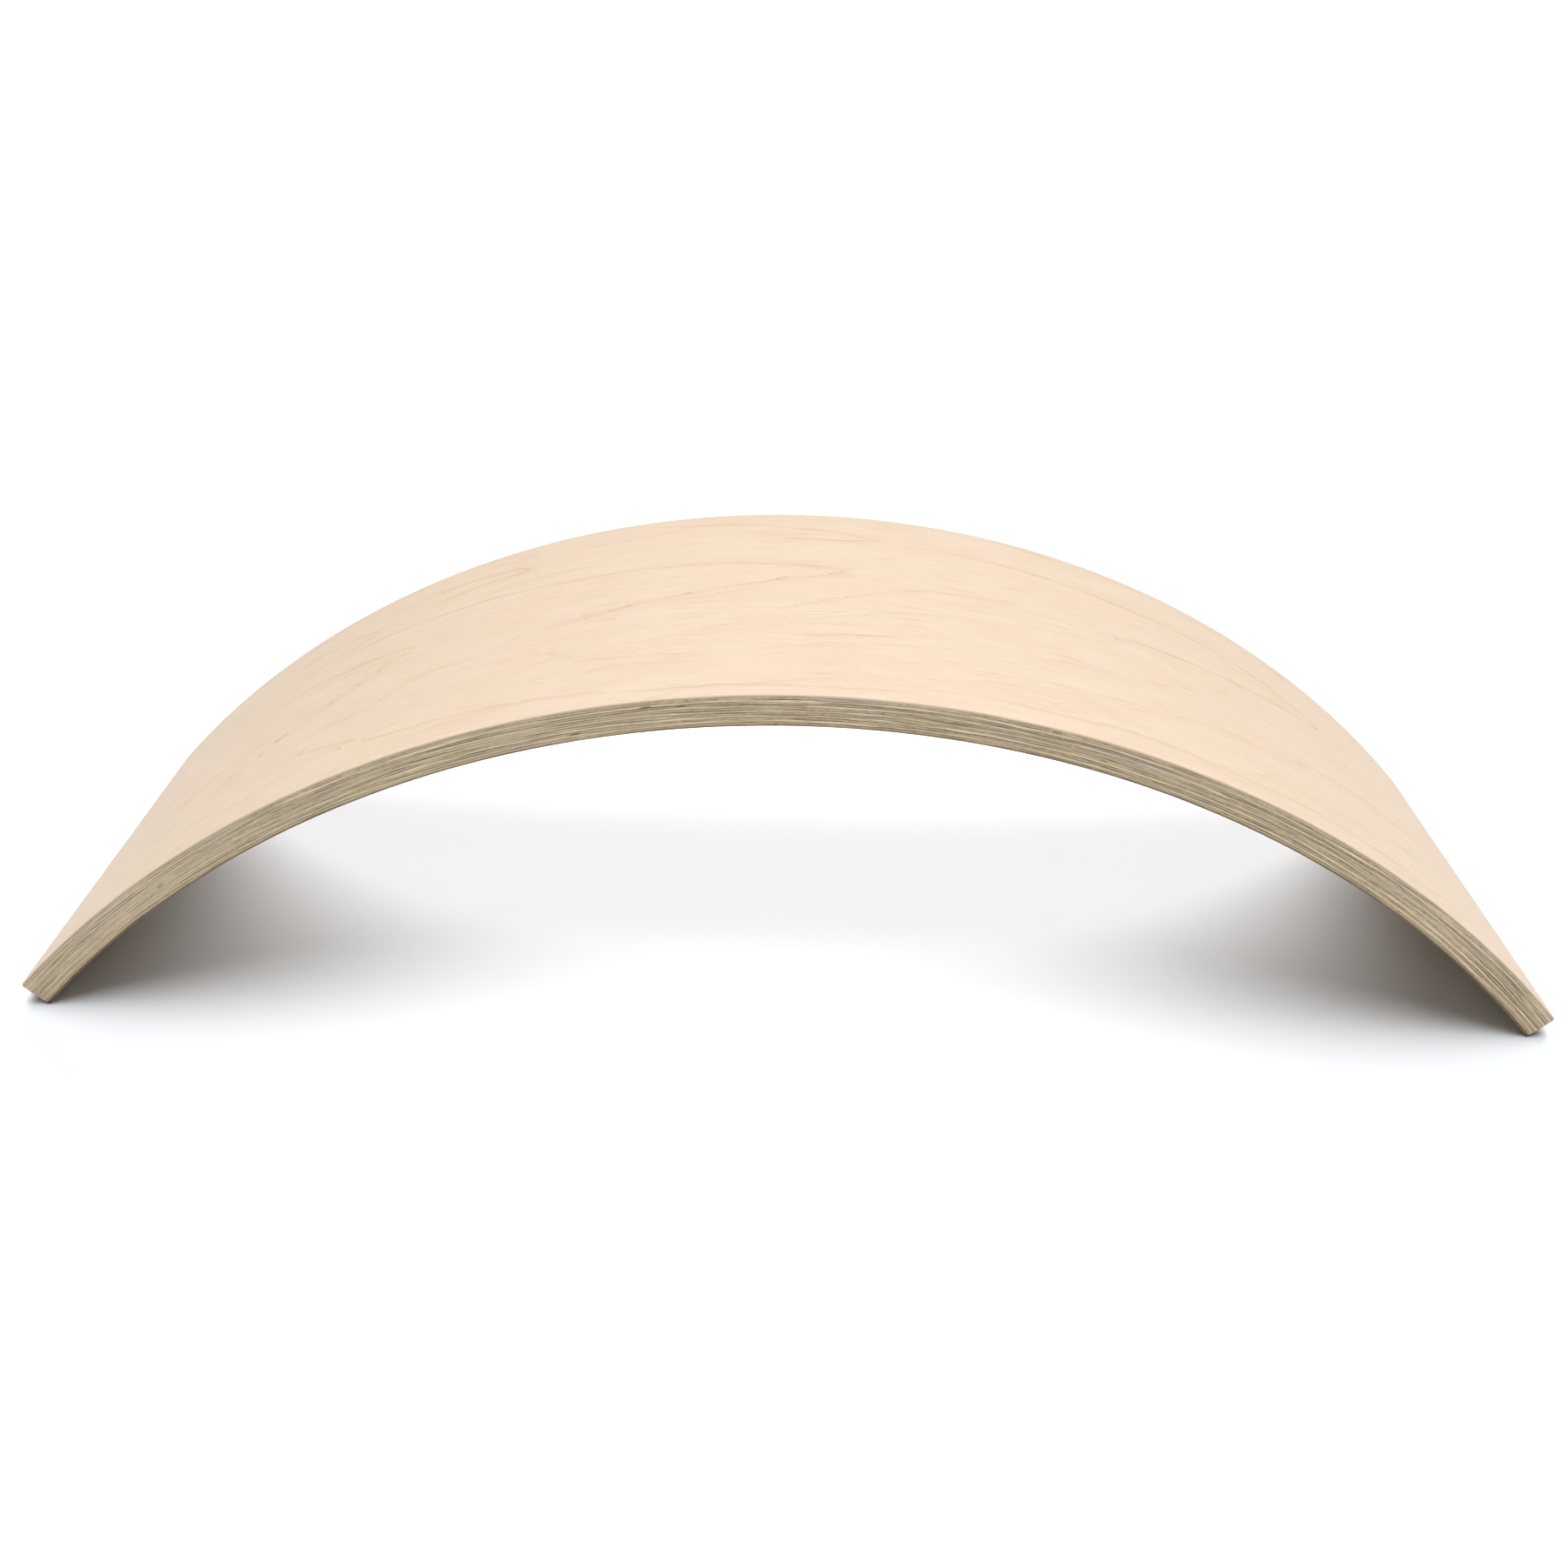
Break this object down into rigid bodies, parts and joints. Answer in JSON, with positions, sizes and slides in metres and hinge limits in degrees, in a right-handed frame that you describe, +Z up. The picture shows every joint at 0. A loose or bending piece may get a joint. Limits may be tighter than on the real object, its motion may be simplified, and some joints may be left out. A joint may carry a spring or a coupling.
{
  "type": "balance board",
  "caption": "Curved balance board of moulded laminated veneer: an even arch with a smooth convex face, exposed ply edges and rounded-over rims, for rocking and standing balance.",
  "frame": {"origin": "on the floor, under the middle of the arch, when the board stands on its two ends with the curved side up", "axes": "+X along the board's length, +Y across its width, +Z up towards the crest of the arch"},
  "size_m": [0.9, 0.3, 0.2112],
  "materials": {
    "maple_face": "clear matt lacquer over sanded long-grain maple veneer",
    "long_grain_core": "sanded ply edge with the grain along the board, clear matt lacquer",
    "cross_grain_core": "sanded ply edge showing end grain, clear matt lacquer",
    "glue": "cured resin line, sanded flush"
  },
  "bodies": {
    "root": {"outer_face_veneer": "maple_face", "cross_veneer_02": "cross_grain_core", "long_veneer_03": "long_grain_core", "cross_veneer_04": "cross_grain_core", "long_veneer_05": "long_grain_core", "cross_veneer_06": "cross_grain_core", "long_veneer_07": "long_grain_core", "cross_veneer_08": "cross_grain_core", "long_veneer_09": "long_grain_core", "cross_veneer_10": "cross_grain_core", "long_veneer_11": "long_grain_core", "cross_veneer_12": "cross_grain_core", "inner_face_veneer": "maple_face", "glue_line_01": "glue", "glue_line_02": "glue", "glue_line_03": "glue", "glue_line_04": "glue", "glue_line_05": "glue", "glue_line_06": "glue", "glue_line_07": "glue", "glue_line_08": "glue", "glue_line_09": "glue", "glue_line_10": "glue", "glue_line_11": "glue", "glue_line_12": "glue"}
  },
  "joints": []
}
